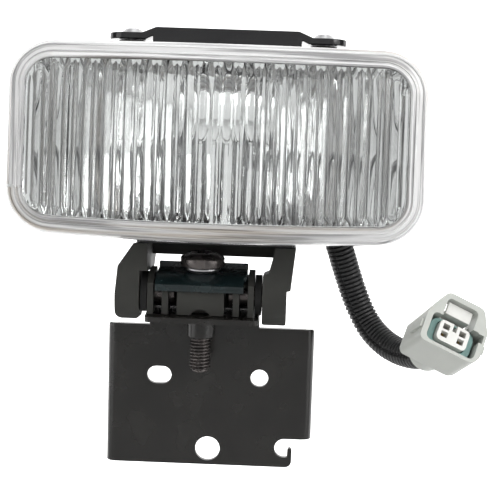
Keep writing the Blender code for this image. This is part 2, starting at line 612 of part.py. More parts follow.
def make_bulb(lamp):
    axis = (LAMP_X, 0, LAMP_Z)
    tip = [(5.5 * math.sin(a), 5.5 * math.cos(a) + 2.0) for a in (0.5, 1.0, math.pi / 2)]
    bore = [(4.6 * math.sin(a), 4.6 * math.cos(a) + 2.0) for a in (math.pi / 2, 1.0, 0.5)]
    glass = [(0.0, 7.5)] + tip + [(5.5, -26.0), (4.6, -26.0)] + bore + [(0.0, 6.6)]
    part(turned(glass, axis, (0, -1, 0), sides=24), "bulb_glass", "bulb_glass", lamp)
    base = [(0.0, -26.3), (8.3, -26.3), (8.3, -29.4), (13.5, -29.4), (13.5, -30.8), (8.3, -30.8),
            (8.3, -36.6), (0.0, -36.6)]
    part(turned(base, axis, (0, -1, 0), sides=32), "bulb_base", "zinc_steel", lamp)
    post = [(LAMP_X - 2.2, 25.7, LAMP_Z), (LAMP_X - 2.2, 1.6, LAMP_Z), (LAMP_X - 1.2, 0.8, LAMP_Z),
            (LAMP_X + 1.2, 0.8, LAMP_Z), (LAMP_X + 2.2, 1.6, LAMP_Z), (LAMP_X + 2.2, 25.7, LAMP_Z)]
    filament = part(tube(post, 0.45), "bulb_filament", "tungsten", lamp)
    join(filament, rod((LAMP_X - 1.9, 0.7, LAMP_Z), (LAMP_X + 1.9, 0.7, LAMP_Z), 0.95, sides=10))
    half_ring = [(x, 32.1, z) for x, z in arc((LAMP_X, LAMP_Z), 10.6, 20, 340, 16)]
    clip = [(LAMP_X + 19.0, 32.1, LAMP_Z + 3.6)] + half_ring + [(LAMP_X + 19.0, 32.1, LAMP_Z - 3.6)]
    part(tube(clip, 0.7), "bulb_clip", "zinc_steel", lamp)
    plug = part(box((LAMP_X - 7.5, 36.9, LAMP_Z - 5.5), (LAMP_X + 7.5, 43.8, LAMP_Z + 5.5)),
                "bulb_plug", "black_plastic", lamp)
    bevel = plug.modifiers.new("edges", "BEVEL")
    bevel.width = 1.0 * MM
    bevel.segments = 2


def make_bulb_shield(lamp):
    """The hood in front of the bulb: a shallow cup on one leg that stands on the reflector."""
    cup = [(0.0, 9.0), (8.8, 8.2), (12.2, 6.2), (13.3, 3.4), (13.3, 0.0), (12.3, 0.0), (12.3, 3.2),
           (11.4, 5.4), (8.4, 7.2), (0.0, 8.0)]
    x, z = LAMP_X + 1.5, LAMP_Z + 13.5
    floor = LAMP_Z - MIRROR_HALF_Z + GAP
    obj = part(turned(cup, (x, -8.0, z), (0, -1, 0), sides=36), "bulb_shield", "mirror", lamp)
    join(obj, box((x - 2.5, -10.2, floor), (x + 2.5, -9.0, z - 10.5)))
    join(obj, box((x - 3.5, -10.2, floor), (x + 3.5, -3.0, floor + 1.0)))


def make_leads(lamp):
    run = [(3.0, 41.0, -7.2), (4.5, 39.0, -11.0), (8.0, 33.5, -13.5), (11.8, 29.0, -15.0), (22.5, 26.5, -20.2),
           (34.0, 23.5, -24.2), (41.0, 20.9, -25.2), (43.6, 20.2, -28.4)]
    shifts = [(-6.0, 0.0, 0.0), (-5.0, 0.0, -0.8), (-2.6, 0.0, -2.2), (-2.8, 0.0, -1.9), (-1.3, 0.0, -2.7),
              (-0.8, 1.2, -2.6), (-0.4, 2.8, -0.8), (0.0, 3.0, 0.0)]
    for name, share in (("feed", 0.0), ("earth", 1.0)):
        knots = [Vector((LAMP_X, 0, LAMP_Z)) + Vector(a) + share * Vector(b) for a, b in zip(run, shifts)]
        part(tube(smooth_route(knots, 3.0), 1.2), f"lead_{name}", "black_rubber", lamp)


def make_cable_grommet(lamp):
    profile = [(7.0, 26.8), (9.2, 26.8), (9.2, 25.6), (8.3, 25.6), (8.3, 22.9), (9.8, 22.9), (9.0, 21.4),
               (7.0, 21.4)]
    obj = turned(profile, (GROMMET_X, GROMMET_Y, 0), (0, 0, 1), sides=28, closed=True)
    part(obj, "cable_grommet", "black_rubber", lamp)


def make_top_strap(lamp):
    """The glossy strap over the housing: two ears and a raised middle with a front lip."""
    side = [(-EAR_X, EAR_BOTTOM), (-30.0, EAR_BOTTOM), (-25.0, 96.2), (25.0, 96.2), (30.0, EAR_BOTTOM),
            (EAR_X, EAR_BOTTOM), (EAR_X, EAR_TOP), (31.6, EAR_TOP), (26.4, HAT_TOP), (-26.4, HAT_TOP),
            (-31.6, EAR_TOP), (-EAR_X, EAR_TOP)]
    side = [(TOP_X + x, z) for x, z in side]
    half = (STRAP_BACK - STRAP_FRONT) / 2
    middle = (STRAP_FRONT + STRAP_BACK) / 2
    plan = arc((TOP_X + EAR_X - half, middle), half, -90, 90, 10)
    plan += arc((TOP_X - EAR_X + half, middle), half, 90, 270, 10)
    obj = prism(side, "Y", STRAP_FRONT - EPS, STRAP_BACK + EPS)
    part(obj, "top_strap", "gloss_black_steel", lamp)
    keep_common(obj, prism(plan, "Z", EAR_BOTTOM - EPS, HAT_TOP + EPS))
    lip = [(-27.5, 90.6), (27.5, 90.6), (27.5, 96.5), (25.6, 97.9), (-25.6, 97.9), (-27.5, 96.5)]
    join(obj, prism([(TOP_X + x, z) for x, z in lip], "Y", STRAP_FRONT, STRAP_FRONT + 2.2))
    for sign in (-1, 1):
        x = TOP_X + sign * EAR_SCREW_X
        cut(obj, rod((x, middle, EAR_BOTTOM - EPS), (x, middle, EAR_TOP + EPS), 2.3, sides=16))


def make_top_screws(lamp):
    middle = (STRAP_FRONT + STRAP_BACK) / 2
    low = EAR_TOP + GAP
    profile = [(0.0, low + 1.9), (1.6, low + 1.75), (3.0, low + 1.2), (4.1, low), (2.0, low),
               (2.0, 89.2), (1.2, 88.5), (0.0, 88.5)]
    for name, sign in (("left", -1), ("right", 1)):
        origin = (TOP_X + sign * EAR_SCREW_X, middle, 0)
        part(turned(profile, origin, (0, 0, 1), sides=24), f"top_screw_{name}", "zinc_steel", lamp)


def make_base_plate(lamp):
    low, high = LAMP_X - BASE_HALF, LAMP_X + BASE_HALF
    plan = arc((high - 2, -5.0), 2.0, -90, 0, 4) + arc((high - 2, BAR_BACK - 2), 2.0, 0, 90, 4)
    plan += arc((low + 2, BAR_BACK - 2), 2.0, 90, 180, 4) + arc((low + 2, -5.0), 2.0, 180, 270, 4)
    obj = part(prism(plan, "Z", BASE_BOTTOM, BASE_TOP), "base_plate", "gloss_black_steel", lamp)
    for sign in (-1, 1):
        x = LAMP_X + sign * BASE_SCREW_X
        cut(obj, rod((x, BASE_SCREW_Y, BASE_BOTTOM - EPS), (x, BASE_SCREW_Y, BASE_TOP + EPS), 2.3, sides=16))


def make_pivot_bracket(lamp):
    """Two arms, offset to one side of the lamp, and the bar behind that joins them."""
    front = (
        [(-25.2, BRACKET_TOP), (-30.8, 10.0), (-ARM_OUTER, 0.0)]
        + arc((-ARM_OUTER + 2.5, -7.1), 2.5, 180, 270, 5)
        + arc((-ARM_INNER - 1.5, -8.1), 1.5, 270, 360, 4)
        + [(-ARM_INNER, 8.4), (-19.9, 8.4), (-19.9, BAR_BOTTOM), (26.0, BAR_BOTTOM), (24.7, 9.0), (ARM_INNER, 8.2)]
        + arc((ARM_INNER + 1.0, -9.6), 1.0, 180, 270, 3)
        + arc((ARM_OUTER - 1.0, -9.6), 1.0, 270, 360, 3)
        + [(ARM_OUTER, 2.6), (33.0, 2.9), (34.5, BRACKET_TOP)]
    )
    side = arc((0, 0), ARM_RADIUS, 180, 360, 16)
    side += [(BAR_BACK, BAR_BOTTOM - 0.2), (BAR_BACK, BRACKET_TOP + EPS), (-ARM_RADIUS, BRACKET_TOP + EPS)]
    obj = part(prism(front, "Y", -20.0, 40.0), "pivot_bracket", "black_plastic", lamp)
    keep_common(obj, prism(side, "X", -40.0, 40.0))
    window = [(-19.9, 9.5), (22.0, 9.5), (26.02, 14.18), (27.2, BRACKET_TOP + EPS), (-19.9, BRACKET_TOP + EPS)]
    cut(obj, prism(window, "Y", -21.0, BAR_FRONT))
    for sign in (-1, 1):
        inner, step, outer = ARM_INNER - EPS, ARM_OUTER - 1.9, ARM_OUTER + 2.0
        cut(
            obj,
            rod((sign * inner, 0, 0), (sign * outer, 0, 0), PIN_RADIUS + GAP, sides=28),
            rod((sign * step, 0, 0), (sign * outer, 0, 0), 6.4, sides=28),
        )
        x = LAMP_X + sign * BASE_SCREW_X
        cut(
            obj,
            rod((x, BASE_SCREW_Y, BAR_BOTTOM - EPS), (x, BASE_SCREW_Y, 17.1), 4.4, sides=20),
            rod((x, BASE_SCREW_Y, BAR_BOTTOM), (x, BASE_SCREW_Y, BRACKET_TOP + EPS), 2.3, sides=16),
        )


def make_base_screws(lamp):
    profile = [(0.0, 24.6), (1.4, 24.6), (2.0, 24.0), (2.0, 16.8), (4.0, 16.8), (4.0, 14.8), (3.5, 14.3), (0.0, 14.3)]
    for name, sign in (("left", -1), ("right", 1)):
        origin = (LAMP_X + sign * BASE_SCREW_X, BASE_SCREW_Y, 0)
        part(turned(profile, origin, (0, 0, 1), sides=20), f"base_screw_{name}", "zinc_steel", lamp)


def make_pivot_pins(lamp):
    """Headed pins from the arms' outer faces through the block's cheeks and ribs."""
    inner, head = 9.6, ARM_OUTER - 1.6
    profile = [(0.0, ARM_OUTER - 0.1), (5.6, ARM_OUTER - 0.1), (6.0, ARM_OUTER - 0.5), (6.0, head),
               (PIN_RADIUS, head), (PIN_RADIUS, inner + 0.5), (3.5, inner), (0.0, inner)]
    for name, sign in (("left", -1), ("right", 1)):
        pin = turned(profile, (0, 0, 0), (sign, 0, 0), sides=28)
        part(pin, f"pivot_pin_{name}", "dark_screw", lamp)


def make_rear_cover(frame):
    """The twist-off cover: a skirt over the neck, an end wall and a grip bar across it."""
    profile = [(0.0, 48.8), (25.4, 48.8), (27.6, 46.8), (27.6, 36.0), (25.4, 36.0), (25.4, 46.2), (0.0, 46.2)]
    obj = part(turned(profile, (0, 0, 0), (0, 1, 0), sides=40), "rear_cover", "black_plastic", frame)
    join(obj, box((-19.0, 48.0, -3.2), (19.0, 54.0, 3.2)))
    seal = [(21.0, 45.9), (24.8, 45.9), (24.8, 44.3), (21.0, 44.3)]
    part(turned(seal, (0, 0, 0), (0, 1, 0), sides=40, closed=True), "cover_seal", "black_rubber", frame)


# Lead and connector --------------------------------------------------------------------------

def make_conduit():
    part(tube(smooth_route(ROUTE, 4.0), CONDUIT_RADIUS, resolution=3), "conduit", "conduit_black")


def rounded(half_x, low, high, radius):
    """A rounded rectangle in X and Z, centred in X."""
    middle = half_x - radius
    return (
        arc((middle, low + radius), radius, -90, 0, 4) + arc((middle, high - radius), radius, 0, 90, 4)
        + arc((-middle, high - radius), radius, 90, 180, 4) + arc((-middle, low + radius), radius, 180, 270, 4)
    )


def make_connector(frame):
    """Everything in the connector's frame: the mating face is at y = 0, and +y runs to the back."""
    left, right = -SHROUD_HALF_X, SHROUD_HALF_X
    outline = (
        arc((left + 2.2, SHROUD_BOTTOM + 2.2), 2.2, 180, 270, 4)
        + arc((right - 4.5, SHROUD_BOTTOM + 4.5), 4.5, 270, 360, 5)
        + [(right, 6.2), (10.4, 9.4)]
        + arc((6.2, 11.7), 3.0, 15, 90, 4)
        + arc((-5.0, 11.7), 3.0, 90, 160, 4)
        + [(left, 4.0)]
    )
    body = part(prism(outline, "Y", 0.0, SHROUD_LENGTH), "connector_housing", "grey_plastic", frame)
    ramp = [(3.0, 15.5), (3.0, 14.5), (13.0, 7.4), (20.0, 3.6), (20.0, 15.5)]
    cut(body, prism(ramp, "X", left - EPS, right + EPS))
    join(body, rod((0, SHROUD_LENGTH - 4, 0), (0, CONNECTOR_LENGTH, 0), 6.9, sides=28))
    join(body, box((right - EPS, 1.0, -1.4), (right + 0.9, 10.0, 1.6)))
    join(body, box((left - 0.9, 1.0, -2.4), (left + EPS, 10.0, 0.8)))
    cut(
        body,
        prism(rounded(9.8, -5.9, 5.2, 2.0), "Y", -EPS, CAVITY_DEPTH),
        prism(rounded(6.4, 4.0, 12.6, 1.8), "Y", -EPS, 6.0),
        prism(rounded(6.4, SHROUD_TOP, 12.6, 1.8), "Y", 5.0, SHROUD_LENGTH + EPS),
        rod((0, CAVITY_DEPTH - EPS, 0), (0, 21.0, 0), 3.2, sides=20),
        rod((0, 20.5, 0), (0, CONNECTOR_LENGTH + EPS, 0), CONDUIT_RADIUS + GAP, sides=28),
        box((9.0, -EPS, 1.6), (11.0, 8.0, 4.8)),
    )
    carrier = part(prism(rounded(6.0, -4.0, 4.0, 1.6), "Y", 0.7, CAVITY_DEPTH - GAP), "connector_carrier",
                   "white_plastic", frame)
    seal = prism(rounded(8.8, -5.6, 4.9, 3.0), "Y", 3.2, CAVITY_DEPTH - GAP)
    part(seal, "connector_seal", "teal_rubber", frame)
    cut(seal, prism(rounded(6.3, -4.3, 4.3, 1.8), "Y", 2.0, CAVITY_DEPTH + EPS))
    for name, sign in (("left", -1), ("right", 1)):
        low, high = sorted((sign * 2.0, sign * 4.6))
        cut(
            carrier,
            box((low, -EPS, -2.4), (high, 4.0, -0.2)), box((low, -EPS, 0.7), (high, 4.0, 2.9)),
            box((low - 0.1, 3.0, -2.5), (high + 0.1, CAVITY_DEPTH + EPS, 3.0)),
        )
        tin = part(box((low + GAP, 4.6, -1.7), (high - GAP, CAVITY_DEPTH - 0.6, 2.0)),
                   f"terminal_{name}", "brass", frame)
        cut(tin, box((low + 0.8, 3.0, -1.1), (high - 0.8, 11.0, 1.4)))
    cut(carrier, box((-0.8, -EPS, 1.2), (0.8, 6.0, 5.0)))


def make_connector_latch(frame):
    """The thumb lever in the loop on the shroud; it rocks on its rear foot."""
    lever = [(-9.8, -0.7), (-9.8, 4.1), (-8.2, 4.1), (-8.2, 1.0), (1.4, 0.6), (1.4, -1.0), (0.0, -1.0), (-0.6, -0.5)]
    part(prism(lever, "X", -5.0, 5.0), "connector_latch", "white_plastic", frame)


def main():
    turn = Matrix.Rotation
    lamp = new_frame("lamp_frame", Matrix.Translation(PIVOT * MM) @ turn(math.radians(TILT_AT_REST), 4, "X"))
    clamp = new_frame("clamp_frame", Matrix.Translation(PIVOT * MM))
    cover = new_frame("cover_frame", Matrix.Translation(Vector((LAMP_X, 0, LAMP_Z)) * MM), lamp)
    face = Matrix.Translation(CONNECTOR_FACE * MM) @ turn(math.radians(CONNECTOR_TURN), 4, "Z")
    face = face @ turn(math.radians(CONNECTOR_PITCH), 4, "X") @ turn(math.radians(CONNECTOR_ROLL), 4, "Y")
    connector = new_frame("connector_frame", face)
    latch = new_frame("latch_frame", Matrix.Translation(Vector((0, 12.0, 8.0)) * MM), connector)

    make_mount_plate()
    make_thread_insert()
    make_pivot_block(clamp)
    make_clamp_saddle(clamp)
    make_cup_washer()
    make_clamp_screw(clamp)
    make_pivot_washers(clamp)
    for make in (
        make_lens, make_lens_seal, make_lamp_housing, make_vent_cap, make_reflector, make_bulb,
        make_bulb_shield, make_leads, make_cable_grommet, make_top_strap, make_top_screws,
        make_base_plate, make_pivot_bracket, make_base_screws, make_pivot_pins,
    ):
        make(lamp)
    make_rear_cover(cover)
    make_conduit()
    make_connector(connector)
    make_connector_latch(latch)


clear_scene()
PARTS = new_collection("fog_light")
CUTTERS = new_collection("cutters", hidden=True)
MATERIALS = {name: new_material(name, *look) for name, look in FINISHES.items()}
main()
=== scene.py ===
"""The looks of the fog light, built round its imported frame.

Lengths are in millimetres and MM turns them into metres. "Lamp" coordinates have their origin on
the tilt axis, with x to the right, y to the back and z up, before the lamp is tilted.
"""

import math

import bmesh
import bpy
from mathutils import Matrix, Vector


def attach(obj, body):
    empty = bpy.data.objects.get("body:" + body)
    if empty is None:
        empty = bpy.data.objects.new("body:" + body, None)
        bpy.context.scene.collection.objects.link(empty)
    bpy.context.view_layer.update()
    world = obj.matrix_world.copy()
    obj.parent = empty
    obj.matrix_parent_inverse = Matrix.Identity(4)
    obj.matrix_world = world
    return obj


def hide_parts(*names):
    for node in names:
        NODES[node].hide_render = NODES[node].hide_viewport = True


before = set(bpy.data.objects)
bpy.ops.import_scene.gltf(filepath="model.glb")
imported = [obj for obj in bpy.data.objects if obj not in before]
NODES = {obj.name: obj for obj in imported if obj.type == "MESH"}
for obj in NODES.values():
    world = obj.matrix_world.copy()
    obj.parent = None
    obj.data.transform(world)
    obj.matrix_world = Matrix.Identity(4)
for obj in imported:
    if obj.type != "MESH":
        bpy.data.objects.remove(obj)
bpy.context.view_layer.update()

MM = 0.001
PIVOT = Vector((-3.1, -14.0, 34.5))
TILT = math.radians(-8.2)
LAMP = Matrix.Translation(PIVOT * MM) @ Matrix.Rotation(TILT, 4, "X")
LAMP_X, LAMP_Z = 4.8, 55.45
AXIS = LAMP @ Matrix.Translation(Vector((LAMP_X, 0, LAMP_Z)) * MM)
WORLD = Matrix.Identity(4)


# Camera, lights and backdrop ---------------------------------------------------------------

FLOOR, HALF_WIDTH = -0.3, 4.0
BACKDROP_START, BACKDROP_BEND, BACKDROP_TOP = 0.15, 0.7, 4.0
FRONT_WALL, CARD_X = -3.0, 1.0


def make_camera():
    data = bpy.data.cameras.new("camera")
    data.lens = 122.4
    data.sensor_width = 36.0
    camera = bpy.data.objects.new("camera", data)
    turn = Matrix.Rotation
    camera.matrix_world = (
        Matrix.Translation((0.0299, -0.6310, 0.1613))
        @ turn(math.radians(1.5), 4, "Z") @ turn(math.radians(80.0), 4, "X")
        @ turn(math.radians(1.84), 4, "Z")
    )
    bpy.context.scene.collection.objects.link(camera)
    bpy.context.scene.camera = camera


def make_light(name, place, target, size, power):
    data = bpy.data.lights.new(name, "AREA")
    data.shape = "RECTANGLE"
    data.size, data.size_y = size
    data.energy = power
    light = bpy.data.objects.new(name, data)
    light.location = place
    light.rotation_euler = (Vector(target) - Vector(place)).to_track_quat("-Z", "Y").to_euler()
    bpy.context.scene.collection.objects.link(light)


def make_paper(name, rows, shade, glow):
    """A matt sheet of the studio, which may shine by itself."""
    bm = bmesh.new()
    made = [[bm.verts.new(place) for place in row] for row in rows]
    for i in range(len(rows[0]) - 1):
        bm.faces.new((made[0][i], made[1][i], made[1][i + 1], made[0][i + 1]))
    mesh = bpy.data.meshes.new(name)
    bm.to_mesh(mesh)
    bm.free()
    mesh.shade_smooth()
    sheet = bpy.data.objects.new(name, mesh)
    bpy.context.scene.collection.objects.link(sheet)
    paper = bpy.data.materials.new(name)
    paper.use_nodes = True
    shader = paper.node_tree.nodes["Principled BSDF"]
    shader.inputs["Base Color"].default_value = (shade, shade, shade, 1)
    shader.inputs["Roughness"].default_value = 0.9
    shader.inputs["Emission Color"].default_value = (1, 1, 1, 1)
    shader.inputs["Emission Strength"].default_value = glow
    mesh.materials.append(paper)


def make_studio():
    world = bpy.data.worlds.new("studio")
    world.use_nodes = True
    world.node_tree.nodes["Background"].inputs["Color"].default_value = (1, 1, 1, 1)
    world.node_tree.nodes["Background"].inputs["Strength"].default_value = 0.16
    bpy.context.scene.world = world
    bpy.context.scene.view_settings.view_transform = "Standard"

    sides = (-HALF_WIDTH, HALF_WIDTH)
    bend = [math.pi / 2 * i / 12 for i in range(13)]
    wall = [(BACKDROP_START, FLOOR)]
    wall += [(0.9 + BACKDROP_BEND * math.sin(a), 0.4 - BACKDROP_BEND * math.cos(a)) for a in bend]
    wall += [(1.6, BACKDROP_TOP)]
    make_paper("backdrop", [[(x, y, z) for y, z in wall] for x in sides], 0.9, 1.0)
    make_paper("floor", [[(x, y, FLOOR) for y in (FRONT_WALL, BACKDROP_START)] for x in sides], 0.6, 0.0)
    make_paper("front_wall", [[(x, FRONT_WALL, z) for z in (FLOOR, 3.5)] for x in sides], 0.8, 0.2)
    for name, x in (("card_left", -CARD_X), ("card_right", CARD_X)):
        make_paper(name, [[(x, y, z) for z in (-0.28, 1.0)] for y in (-1.0, -0.2)], 0.7, 1.15)

    make_light("key", (0.90, -0.62, 0.62), (0, 0, 0.08), (0.75, 0.55), 7.5)
    make_light("fill", (-1.1, -0.9, 0.5), (0, 0, 0.06), (0.3, 0.8), 5)
    make_light("top", (0.1, -0.2, 1.3), (0, 0, 0.06), (1.0, 0.5), 7)


# Materials ---------------------------------------------------------------------------------

def shader_tree(name):
    material = bpy.data.materials.new(name)
    material.use_nodes = True
    return material, material.node_tree, material.node_tree.nodes["Principled BSDF"]


def noise_node(tree, scale, detail=3.0):
    coords = tree.nodes.new("ShaderNodeTexCoord")
    noise = tree.nodes.new("ShaderNodeTexNoise")
    noise.inputs["Scale"].default_value = scale
    noise.inputs["Detail"].default_value = detail
    tree.links.new(coords.outputs["Object"], noise.inputs["Vector"])
    return noise.outputs["Fac"]


def ramp_node(tree, value, low, high, start=0.3, end=0.7):
    """A ramp between two colours, or two grey levels, over part of a noise's range."""
    ramp = tree.nodes.new("ShaderNodeValToRGB")
    for element, place, colour in zip(ramp.color_ramp.elements, (start, end), (low, high)):
        element.position = place
        element.color = (*colour, 1) if isinstance(colour, tuple) else (colour, colour, colour, 1)
    tree.links.new(value, ramp.inputs["Fac"])
    return ramp.outputs["Color"]


def surface(name, low, high, rough, metallic=0.0, blotch=60.0, grain=1500.0, bump=0.15, depth=0.03,
            **sockets):
    """A finish whose colour and roughness wander, with a fine grain in relief."""
    material, tree, shader = shader_tree(name)
    wander = noise_node(tree, blotch)
    fine = noise_node(tree, grain, 2.0)
    tree.links.new(ramp_node(tree, wander, low, high), shader.inputs["Base Color"])
    tree.links.new(ramp_node(tree, wander, rough[0], rough[1], 0.35, 0.65), shader.inputs["Roughness"])
    shader.inputs["Metallic"].default_value = metallic
    relief = tree.nodes.new("ShaderNodeBump")
    relief.inputs["Strength"].default_value = bump
    relief.inputs["Distance"].default_value = depth * MM
    tree.links.new(fine, relief.inputs["Height"])
    tree.links.new(relief.outputs["Normal"], shader.inputs["Normal"])
    for socket, value in sockets.items():
        shader.inputs[socket.replace("_", " ")].default_value = value
    return material


def clear_material(name, colour, roughness, ior=1.5):
    material, tree, shader = shader_tree(name)
    shader.inputs["Base Color"].default_value = (*colour, 1)
    shader.inputs["IOR"].default_value = ior
    shader.inputs["Transmission Weight"].default_value = 1.0
    wander = noise_node(tree, 40.0)
    tree.links.new(ramp_node(tree, wander, roughness, roughness + 0.004), shader.inputs["Roughness"])
    return material


def band_noise(tree, scale, detail):
    """Noise in the lens border's own coordinates: along it, across it and in depth."""
    place = tree.nodes.new("ShaderNodeAttribute")
    place.attribute_name = "band"
    mapping = tree.nodes.new("ShaderNodeMapping")
    mapping.inputs["Scale"].default_value = scale
    noise = tree.nodes.new("ShaderNodeTexNoise")
    noise.inputs["Scale"].default_value = 1.0
    noise.inputs["Detail"].default_value = detail
    tree.links.new(place.outputs["Vector"], mapping.inputs["Vector"])
    tree.links.new(mapping.outputs["Vector"], noise.inputs["Vector"])
    return noise.outputs["Fac"]


def rim_painted_light_material():
    """The lens's border: clear plastic, streaked along its length with greys and a warm tint. The
    grey-to-white streaks are painted highlights for light caught along its edges, and the warm patches are a
    painted warm-tinted reflection.
    """
    material, tree, shader = shader_tree("lens_rim_painted_light")
    white = (1.0, 1.0, 1.0)
    glint_streaks, reflection_patches = band_noise(tree, (22, 900, 500), 3.0), band_noise(tree, (9, 330, 160), 1.0)
    # grey-to-white streaks: painted highlights; warm patches: a painted warm-tinted reflection
    light = ramp_node(tree, glint_streaks, (0.46, 0.46, 0.465), white, 0.38, 0.52)
    tint = ramp_node(tree, reflection_patches, (0.66, 0.61, 0.55), white, 0.36, 0.50)
    mix = tree.nodes.new("ShaderNodeMix")
    mix.data_type = "RGBA"
    mix.blend_type = "MULTIPLY"
    mix.inputs[0].default_value = 1.0
    tree.links.new(light, mix.inputs[6])
    tree.links.new(tint, mix.inputs[7])
    tree.links.new(mix.outputs[2], shader.inputs["Base Color"])
    shader.inputs["Transmission Weight"].default_value = 0.4
    shader.inputs["Roughness"].default_value = 0.12
    shader.inputs["IOR"].default_value = 1.5
    return material


def make_materials():
    return {
        "black_steel": surface("black_steel", (0.0075, 0.007, 0.006), (0.013, 0.012, 0.0105),
                               (0.20, 0.30), 0.0, 70, 1500, 0.35, 0.04, Specular_IOR_Level=0.5),
        # The saddle's dark steel is tinted teal all over: a painted teal sheen, standing in for the light
        # that its sloping front catches.
        "saddle_painted_teal_sheen": surface("saddle_painted_teal_sheen", (0.006, 0.011, 0.012), (0.010, 0.020, 0.021),
                                (0.18, 0.30), 0.0, 120, 1500, 0.3, 0.04),
        "gloss_black_steel": surface("gloss_black_steel", (0.004, 0.004, 0.005), (0.009, 0.009, 0.010),
                                     (0.10, 0.18), 0.0, 50, 900, 0.06, 0.02),
        "black_plastic": surface("black_plastic", (0.027, 0.027, 0.0245), (0.040, 0.040, 0.036),
                                 (0.48, 0.60), 0.0, 55, 1700, 0.4, 0.04, Specular_IOR_Level=0.22),
        "dark_screw": surface("dark_screw", (0.075, 0.068, 0.066), (0.14, 0.125, 0.12), (0.20, 0.32), 0.8,
                              300, 2500, 0.2, 0.02),
        "zinc_steel": surface("zinc_steel", (0.42, 0.42, 0.42), (0.60, 0.60, 0.61), (0.25, 0.38), 1.0,
                              260, 2500, 0.15, 0.02),
        "clear_lens": clear_material("clear_lens", (0.97, 0.985, 0.98), 0.0),
        "mirror": surface("mirror", (0.90, 0.90, 0.90), (0.94, 0.94, 0.94), (0.02, 0.04), 1.0,
                          40, 300, 0.0, 0.01),
        "black_rubber": surface("black_rubber", (0.010, 0.010, 0.010), (0.020, 0.020, 0.020), (0.60, 0.75),
                                0.0, 120, 1800, 0.3, 0.04),
        "conduit_black": surface("conduit_black", (0.010, 0.010, 0.011), (0.018, 0.018, 0.018), (0.42, 0.58),
                                 0.0, 200, 2400, 0.2, 0.03),
        "grey_plastic": surface("grey_plastic", (0.40, 0.415, 0.385), (0.46, 0.475, 0.44), (0.40, 0.52), 0.0,
                                90, 2600, 0.2, 0.02),
        "white_plastic": surface("white_plastic", (0.62, 0.62, 0.59), (0.70, 0.70, 0.67), (0.38, 0.5), 0.0,
                                 120, 2600, 0.15, 0.02),
        "teal_rubber": surface("teal_rubber", (0.13, 0.24, 0.22), (0.18, 0.31, 0.29), (0.5, 0.65), 0.0,
                               150, 2000, 0.2, 0.03),
        "brass": surface("brass", (0.55, 0.40, 0.18), (0.66, 0.50, 0.25), (0.25, 0.4), 1.0,
                         300, 2500, 0.15, 0.02),
        "tungsten": surface("tungsten", (0.25, 0.25, 0.26), (0.36, 0.36, 0.37), (0.35, 0.5), 1.0, 400, 2500),
        "bulb_glass": clear_material("bulb_glass", (1.0, 1.0, 1.0), 0.0, 1.45),
        "lens_rim_painted_light": rim_painted_light_material(),
    }


# Pieces ------------------------------------------------------------------------------------

def add_piece(mesh, name, body, slot, matrix=WORLD, nodes=(), angle=32.0, look=None):
    """Puts a mesh in the scene, turned by matrix, riding on a body and standing for CAD nodes."""
    mesh.transform(matrix)
    mesh.name = name
    if angle:
        mesh.shade_smooth()
        mesh.set_sharp_from_angle(angle=math.radians(angle))
    mesh.materials.clear()
    mesh.materials.append(MATERIALS[look or slot])
    piece = bpy.data.objects.new(name, mesh)
    bpy.context.scene.collection.objects.link(piece)
    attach(piece, body)
    if nodes:
        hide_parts(*nodes)
    return piece


def mesh_of(bm, name="mesh"):
    bmesh.ops.recalc_face_normals(bm, faces=bm.faces)
    mesh = bpy.data.meshes.new(name)
    bm.to_mesh(mesh)
    bm.free()
    return mesh


def baked(mesh, *modifiers):
    """The mesh as these modifiers leave it. Each is a type and its settings."""
    obj = bpy.data.objects.new("baking", mesh)
    bpy.context.scene.collection.objects.link(obj)
    for kind, settings in modifiers:
        modifier = obj.modifiers.new(kind.lower(), kind)
        for key, value in settings.items():
            setattr(modifier, key, value)
    bpy.context.view_layer.update()
    evaluated = obj.evaluated_get(bpy.context.evaluated_depsgraph_get())
    result = bpy.data.meshes.new_from_object(evaluated)
    bpy.data.objects.remove(obj)
    return result


def bevel(width, angle=30.0, segments=2):
    return ("BEVEL", {"width": width * MM, "segments": segments, "limit_method": "ANGLE",
                      "angle_limit": math.radians(angle), "use_clamp_overlap": True})


def softened(node, body, slot, width=0.3, look=None):
    """A CAD node with its edges rounded."""
    bm = bmesh.new()
    bm.from_mesh(NODES[node].data)
    bmesh.ops.remove_doubles(bm, verts=bm.verts, dist=0.000004)
    bmesh.ops.dissolve_limit(bm, angle_limit=math.radians(0.6), verts=bm.verts, edges=bm.edges)
    mesh = mesh_of(bm)
    mesh.shade_smooth()
    mesh = baked(mesh, bevel(width), ("WEIGHTED_NORMAL", {"mode": "FACE_AREA", "weight": 60}))
    return add_piece(mesh, f"{node}_shape", body, slot, nodes=(node,), angle=None, look=look)


def grid_mesh(rows, closed=False):
    """Quads between rows of points; closed joins each row's end to its start."""
    bm = bmesh.new()
    made = [[bm.verts.new(Vector(p) * MM) for p in row] for row in rows]
    for near, far in zip(made, made[1:]):
        count = len(near)
        for i in range(count if closed else count - 1):
            j = (i + 1) % count
            bm.faces.new((near[i], near[j], far[j], far[i]))
    return bm, made


def spun(profile, sides):
    """A turned shape about +Z from (radius, height) points."""
    bm = bmesh.new()
    rings = []
    for radius, height in profile:
        if radius < 1e-6:
            rings.append([bm.verts.new((0, 0, height * MM))])
        else:
            rings.append([bm.verts.new((radius * MM * math.cos(math.tau * i / sides),
                                        radius * MM * math.sin(math.tau * i / sides), height * MM))
                          for i in range(sides)])
    for near, far in zip(rings, rings[1:]):
        for i in range(sides):
            j = (i + 1) % sides
            corners = [near[i % len(near)], near[j % len(near)], far[j % len(far)], far[i % len(far)]]
            bm.faces.new(list(dict.fromkeys(corners)))
    return bm


# Lead --------------------------------------------------------------------------------------

